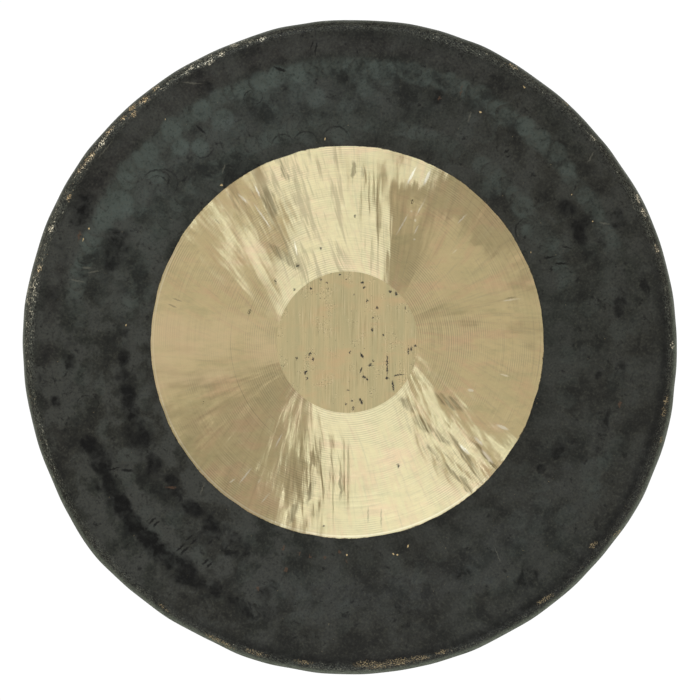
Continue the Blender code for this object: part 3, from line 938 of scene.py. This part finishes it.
def lathed_material():
    """Bright turned bronze. Its grooves spread a light into a fan that turns round the ring."""
    g = Graph(bpy.data.materials.new("lathed_bronze"))
    direction, radius, angle = g.polar(RING_CENTRE)
    clouds = g.noise(g.place, 22, 3, 0.5)
    # The sheet is a little twisted, and hammered from behind, which turns the fan of light
    twist = g.math("COSINE", (angle - 25) * (2 * math.pi / 180))
    # From -1 at the ring's inner edge to 1 at its outer edge
    outward = (20.65 - 2 / radius) * (1 / 9.66)
    turn = twist * outward * 12
    leaning = (angle + turn) * (math.pi / 180)
    leaning = g.combine(g.math("SINE", leaning), 0, g.math("COSINE", leaning))
    smears = g.streaks(leaning, radius, 16, 20, 3, 0.55)
    fine = g.streaks(leaning, radius, 60, 26, 4, 0.6)
    wide = g.streaks(leaning, radius, 4.5, 26, 2, 0.5) - 0.5
    fingers = g.streaks(leaning, radius, 14, 26, 5, 0.66) - 0.5
    thin = g.streaks(leaning, radius, 34, 34, 3, 0.62) - 0.5
    hairs = g.streaks(leaning, radius, 70, 30, 3, 0.6) - 0.5
    upright = g.stretched(330, 14, 4, 0.62)
    brushed = g.marks(g.place, BRUSHED_UP)
    combed = g.marks(g.place, BRUSHED_OUT)
    ruffled = g.arc(angle, 130, 130, 24)
    wedge = g.arc(angle, -33, -33, 15) * g.ramp(radius, 0.085, 0.115)
    corner = g.arc(angle, 25, 25, 10) * g.ramp(radius, 0.152, 0.168)
    inside_edge = g.arc(angle, 0, 40, 12) * g.ramp(radius, 0.15, 0.075, 3, 20)
    edge_x = g.separate(g.place)[0] + (upright - 0.5) * 0.01 + g.ramp(radius, 0.108, 0.076, 0, 0.009)
    past_edge = g.ramp(edge_x, 0.0366, g.ramp(radius, 0.108, 0.08, 0.04, 0.044))
    past_edge = past_edge * (g.arc(angle, 5, 60, 10) * g.ramp(radius, 0.16, 0.14))
    bend = turn + wide * 40 + fingers * (72 + ruffled * 110)
    bend = bend + thin * (48 + combed * 70)
    bend = bend + hairs * (18 + combed * 24)
    bend = bend + (upright - 0.5) * (brushed * 150)
    bend = bend - wedge * 30 - corner * 18 - inside_edge + past_edge * 34
    fan = (angle + bend) * (math.pi / 180)
    tangent = g.combine(g.math("SINE", fan), 0, g.math("COSINE", fan))

    g.colour = g.mix(g.ramp(clouds, 0.35, 0.65), (0.79, 0.7, 0.41), (0.84, 0.732, 0.43))
    g.tint(g.ramp(smears, 0.46, 0.72, 0, 0.9), (0.81, 0.65, 0.395))
    tinted = g.stretched(16, 46, 4, 0.6)
    g.tint(g.ramp(tinted, 0.5, 0.7, 0, 0.7), (0.87, 0.655, 0.42))
    g.tint(g.ramp(tinted, 0.48, 0.3, 0, 0.7), (0.69, 0.635, 0.36))
    g.tint(g.ramp(fine, 0.5, 0.78, 0, 0.34), (0.52, 0.46, 0.29))
    # Painted shade and highlight of the lathe's grooves: thin rings of darker and lighter colour, in patches
    grooves = g.noise(g.combine(radius * 760, 0, angle * 0.02), 1, 1, 0.5)
    shown = g.noise(g.place, 30, 3, 0.6) + g.noise(g.combine(radius * 60, 0, 0), 1) * 0.5
    shown = g.ramp(shown, 0.66, 0.92, 0.1, 1)
    g.tint(g.ramp(grooves, 0.46, 0.62, 0, 0.2) * shown, (0.42, 0.36, 0.22))
    g.tint(g.ramp(grooves, 0.46, 0.36, 0, 0.16) * shown, (0.98, 0.91, 0.64))
    # Painted shade and highlight again: one darker and one lighter ring for each groove pitch
    turned = g.math("SINE", radius * (2 * math.pi / GROOVE_PITCH))
    shown = g.noise(g.place, 26, 3, 0.6) + g.ramp(radius, 0.07, 0.125, 0.1, 0)
    shown = g.ramp(shown, 0.46, 0.7, 0, 1)
    g.tint(g.ramp(turned, -0.2, 1, 0, 0.34) * shown, (0.4, 0.34, 0.2))
    g.tint(g.ramp(turned, 0.2, -1, 0, 0.24) * shown, (0.98, 0.91, 0.64))
    lines = g.line(radius, 0.1082, 0.7 * MM) * (0.2 + g.arc(angle, 195, 268, 20))
    outer_lines = g.most(g.line(radius, 0.179, 0.6 * MM), g.line(radius, 0.1735, 0.5 * MM))
    outer_lines = outer_lines * (0.15 + g.arc(angle, 24, 95, 20))
    lines = g.most(lines, outer_lines)
    g.tint(lines * g.ramp(clouds, 0.35, 0.6, 0.1, 0.38), (0.33, 0.28, 0.17))
    # Painted highlight: a pale line just inside the ring's outer edge, round the lower left, where its bevel
    # would catch the light
    edge_highlight = g.line(radius, 0.18, 1.2 * MM) * g.arc(angle, 150, 285, 30)
    g.tint(edge_highlight * 0.7, (0.98, 0.92, 0.7))
    ragged = radius + (g.noise(g.place, 260, 3, 0.6) - 0.5) * (2.6 * MM)
    g.tint(g.ramp(ragged, RING_OUTER - 0.7 * MM, RING_OUTER - 0.1 * MM), (0.1, 0.085, 0.055))

    mist = g.stretched(110, 250, 4, 0.68)
    g.tint(g.ramp(mist, 0.5, 0.72, 0, 0.22), (0.48, 0.41, 0.24))
    g.tint(g.ramp(mist, 0.48, 0.28, 0, 0.2), (0.98, 0.9, 0.62))
    # Painted shade: darker streaks in the fan of reflected light just left of 12 o'clock
    soft = smears * 0.75 + fine * 0.25
    highlight_streaks = g.arc(angle, 322, 356, 8) * g.front()
    g.tint(g.ramp(soft, 0.49, 0.61, 0, 0.6) * highlight_streaks, (0.46, 0.4, 0.235))
    # Painted highlight: a bright band on the left of the ring, where the left lamp's reflection falls
    side_highlight = g.arc(angle, 258, 280, 8) * g.ramp(tinted, 0.36, 0.6, 0.1, 0.6)
    g.tint(side_highlight, (0.98, 0.84, 0.54))
    brush = g.ramp(upright, 0.52, 0.66) * brushed
    brush = g.most(brush, g.ramp(thin, 0.02, 0.15, 0, 0.75) * combed)
    g.tint(brush * 0.5, (0.38, 0.32, 0.18))
    dull = g.marks(g.uneven(9 * MM, 110, 4), DULL_SMEARS) * g.ramp(fine, 0.38, 0.56, 0.25, 0.95)
    g.tint(dull, (0.36, 0.305, 0.175))
    place = g.uneven(1.2 * MM)
    broken = g.ramp(fine, 0.35, 0.55, 0.35, 1)
    g.tint(g.marks(place, DARK_SCRATCHES) * 0.45, (0.25, 0.2, 0.12))
    g.tint(g.marks(place, BRIGHT_SCRATCHES) * broken, (1, 0.95, 0.76))
    pits = g.marks(g.uneven(3 * MM, 800), RING_PITS) * g.ramp(g.noise(g.place, 800, 2), 0.42, 0.52)
    g.tint(pits, (0.05, 0.045, 0.035))

    rough = 0.35 + g.ramp(fine, 0.3, 0.7) * 0.05
    height = fine * 0.5 + smears * 0.6
    normal = g.bump(height, 0.6 * MM, 0.35)
    return g.finish(Metallic=1, Roughness=rough, Anisotropic=1, Normal=normal, Tangent=tangent)


# Pits and scratches in the middle
CENTRE_PITS = (
    (362, 283, 3, 5), (364, 288, 3, 4), (390, 292, 3, 4), (396, 294, 5, 4, 150), (367, 301, 5, 2),
    (377, 308, 5, 3, 150), (405, 308, 3, 2), (373, 318, 3, 2), (383, 335, 3, 3), (372, 330, 5, 3),
    (340, 275, 2, 3), (321, 280, 4, 3), (327, 283, 4, 2, 140), (311, 289, 3, 3), (350, 352, 4, 2),
    (362, 356, 8, 3, 150), (370, 365, 5, 4, 60), (373, 361, 3, 2), (364, 377, 5, 4, 120), (367, 379, 4, 2),
    (361, 370, 9, 2, 20), (352, 400, 3, 3), (361, 401, 9, 4, 150), (353, 408, 5, 3), (348, 390, 2, 4),
    (346, 404, 5, 2), (387, 365, 26, 2), (387, 378, 4, 4), (393, 386, 14, 3, 170), (398, 375, 15, 2, 82),
    (408, 351, 9, 2), (411, 349, 7, 3), (415, 346, 3, 4), (310, 354, 6, 3, 20), (313, 359, 5, 3),
    (306, 372, 6, 4, 30), (307, 378, 4, 3), (297, 358, 4, 3),
)


def centre_material():
    """The middle, ground by hand: dull, scratched up and down, and pitted."""
    g = Graph(bpy.data.materials.new("ground_bronze"))
    lines = g.stretched(900, 22, 4, 0.65)
    bands = g.stretched(110, 9, 3, 0.6)
    specks = g.stretched(420, 260, 2, 0.5)
    smudges = g.stretched(26, 60, 4, 0.6)
    g.colour = g.mix(g.ramp(bands, 0.35, 0.65), (0.545, 0.48, 0.272), (0.625, 0.525, 0.295))
    g.tint(g.ramp(smudges, 0.48, 0.7, 0, 0.7), (0.66, 0.485, 0.275))
    patchy = g.ramp(g.noise(g.place, 45, 3, 0.6), 0.4, 0.6)
    g.tint(g.ramp(lines, 0.46, 0.72) * g.ramp(patchy, 0, 1, 0.28, 0.78), (0.38, 0.315, 0.175))
    g.tint(g.ramp(lines, 0.46, 0.3, 0, 0.75) * patchy, (0.82, 0.7, 0.44))
    crumbs = g.noise(g.place, 850, 3, 0.65)
    clusters = g.ramp(g.noise(g.place, 70, 2, 0.5), 0.52, 0.62)
    drilled = g.marks(g.uneven(4 * MM, 700, 3), CENTRE_PITS) * g.ramp(crumbs, 0.38, 0.44)
    strewn = clusters * g.ramp(crumbs, 0.61, 0.65)
    pits = g.most(g.most(g.ramp(specks, 0.7, 0.76) * 0.8, drilled), strewn)
    g.tint(clusters * g.ramp(crumbs, 0.44, 0.34, 0, 0.6), (0.9, 0.78, 0.5))
    g.tint(pits, (0.018, 0.016, 0.014))
    rough = 0.5 + g.ramp(lines, 0.3, 0.7) * 0.1
    return g.finish(Metallic=1 - pits * 0.7, Roughness=rough, Normal=g.bump(lines, 0.3 * MM, 0.4))


def lip_material():
    """The sawn and filed edge of the rim: bare brass, tarnished brown."""
    g = Graph(bpy.data.materials.new("filed_lip"))
    stain = g.noise(g.place, 90, 4, 0.6)
    g.colour = g.mix(g.ramp(stain, 0.35, 0.65), (0.13, 0.1, 0.06), (0.42, 0.32, 0.16))
    rough = g.ramp(stain, 0.3, 0.7, 0.38, 0.55)
    return g.finish(Metallic=0.9, Roughness=rough, Normal=g.bump(stain, 0.4 * MM, 0.5))


def placed(name, data):
    """A new object in the scene."""
    thing = bpy.data.objects.new(name, data)
    bpy.context.scene.collection.objects.link(thing)
    return thing


def hole_cutter(name, angle, material):
    """A drill through the rim, square to the gong's axis."""
    height = LIP + HOLE_TO_LIP
    middle = rim_radius(False, height) - RIM_WALL / 2
    bpy.ops.mesh.primitive_cylinder_add(vertices=DRILL_SIDES, radius=HOLE_RADIUS, depth=DRILL_LENGTH)
    drill = bpy.context.object
    drill.name = name
    drill.location = (middle * math.sin(angle), -height, middle * math.cos(angle))
    drill.rotation_euler = (0.0, angle, 0.0)
    drill.data.materials.append(material)
    return drill


def make_gong():
    """The gong: the sheet, with its holes drilled."""
    gong = placed("hammered_gong", gong_mesh())
    lip = lip_material()
    for material in (centre_material(), lathed_material(), patina_material(), lip):
        gong.data.materials.append(material)
    for name, angle in (("drill_left", -HOLE_ANGLE), ("drill_right", HOLE_ANGLE)):
        drill = hole_cutter(name, angle, lip)
        cut = gong.modifiers.new(name, "BOOLEAN")
        cut.operation = "DIFFERENCE"
        cut.solver = "EXACT"
        cut.material_mode = "TRANSFER"
        cut.object = drill
        bpy.context.view_layer.objects.active = gong
        bpy.ops.object.modifier_apply(modifier=name)
        bpy.data.objects.remove(drill)
    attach(gong, "root")
    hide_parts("gong")


# Floor, lamps and camera

FLOOR_DROP = 1.0
FLOOR_RADIUS = 3.0
FADE_START = 0.9
FLOOR_RINGS = 48
FLOOR_SIDES = 96


def make_floor():
    """A pale round floor below the hanging gong, which fades into the white behind it."""
    points = [(0.0, 0.0, 0.0)]
    rings = [[0]]
    for ring in range(1, FLOOR_RINGS + 1):
        rings.append(range(len(points), len(points) + FLOOR_SIDES))
        reach = FLOOR_RADIUS * ring / FLOOR_RINGS
        points += [(*clock(360.0 * side / FLOOR_SIDES, reach), 0.0) for side in range(FLOOR_SIDES)]
    faces = [tuple(map(int, face)) for pair in zip(rings, rings[1:]) for face in joining_faces(*pair)]
    mesh = bpy.data.meshes.new("floor")
    mesh.from_pydata(points, [], faces)
    floor = placed("floor", mesh)
    floor.location.z = LOW.z - FLOOR_DROP
    g = Graph(bpy.data.materials.new("pale_floor"))
    g.colour = (0.93, 0.93, 0.92)
    fade = g.ramp(g.vector("LENGTH", g.place), FADE_START, FLOOR_RADIUS, 1.0, 0.0)
    mesh.materials.append(g.finish(Roughness=0.85, Alpha=fade))


WHITE = (1.0, 1.0, 1.0)
WHITE_STRENGTH = 1.05
ROOM_COLOUR = (1.0, 0.91, 0.81)
ROOM_STRENGTH = 0.48
LAMP_COLOUR = (0.90, 1.0, 1.12)


def make_world():
    """A white backdrop behind the gong, which the camera sees all round, and a plain warm room in front."""
    world = bpy.data.worlds.new("studio")
    bpy.context.scene.world = world
    g = Graph(world, place="Generated")
    seen = g.node("LightPath", out="Is Camera Ray")
    mirrored = g.most(seen.beside("Is Glossy Ray"), seen.beside("Is Transmission Ray"))
    behind = g.math("MULTIPLY", g.separate(g.place)[1] + 0.1, 4.0, clamp=True)
    white = g.most(seen, mirrored * behind)
    background = world.node_tree.nodes["Background"]
    g.put(background.inputs["Strength"], g.node("Mix", {0: white, 2: ROOM_STRENGTH, 3: WHITE_STRENGTH}))
    g.put(background.inputs["Color"], g.mix(white, ROOM_COLOUR, WHITE))


def soft_lamp(name, clock_angle, tilt, distance, width, depth, power, colour=(1.0, 0.93, 0.85)):
    """A soft panel that faces the gong. Seen from the gong it is at this clock angle and this tilt from
    straight ahead, and it is this wide round the clock."""
    light = bpy.data.lights.new(name, "AREA")
    light.shape = "RECTANGLE"
    light.size = width
    light.size_y = depth
    light.energy = power
    light.color = colour
    lamp = placed(name, light)
    turn, lean = math.radians(clock_angle), math.radians(tilt)
    outward = Vector((math.sin(turn), 0.0, math.cos(turn)))
    away = outward * math.sin(lean) + Vector((0.0, -math.cos(lean), 0.0))
    sideways = Vector((math.cos(turn), 0.0, -math.sin(turn)))
    axes = Matrix((sideways, away.cross(sideways), away)).transposed()
    lamp.matrix_world = Matrix.Translation(away * distance) @ axes.to_4x4()
    lamp.visible_camera = False


def make_lamps():
    """A wide panel above, a little to the left, its twin below, and a weaker one on either side."""
    # As (name, clock angle, tilt, distance, width, depth, power)
    soft_lamp("key", -16.0, 42.0, 1.9, 1.98, 0.34, 12.5, LAMP_COLOUR)
    soft_lamp("low_fill", 164.0, 42.0, 1.5, 1.56, 0.27, 8.5, LAMP_COLOUR)
    soft_lamp("left_fill", -82.0, 52.0, 2.0, 1.7, 0.55, 4.0)
    soft_lamp("right_fill", 94.0, 52.0, 2.0, 1.7, 0.55, 4.0)


CAMERA_DISTANCE = 3.2
SENSOR = 36.0


def make_camera():
    """The camera looks straight at the face, framed as the photograph is."""
    camera_data = bpy.data.cameras.new("camera")
    camera = placed("camera", camera_data)
    across, up = photo_place(FRAME_PIXELS / 2, FRAME_PIXELS / 2)
    camera.location = (across, -CAMERA_DISTANCE - SHOULDER_CENTRE, up)
    camera.rotation_euler = (math.pi / 2, 0.0, 0.0)
    camera_data.sensor_width = SENSOR
    camera_data.lens = SENSOR * PIXELS_PER_METRE * CAMERA_DISTANCE / FRAME_PIXELS
    camera_data.clip_end = 50.0
    bpy.context.scene.camera = camera


make_camera()
make_gong()
make_floor()
make_world()
make_lamps()
bpy.context.scene.view_settings.view_transform = "Standard"
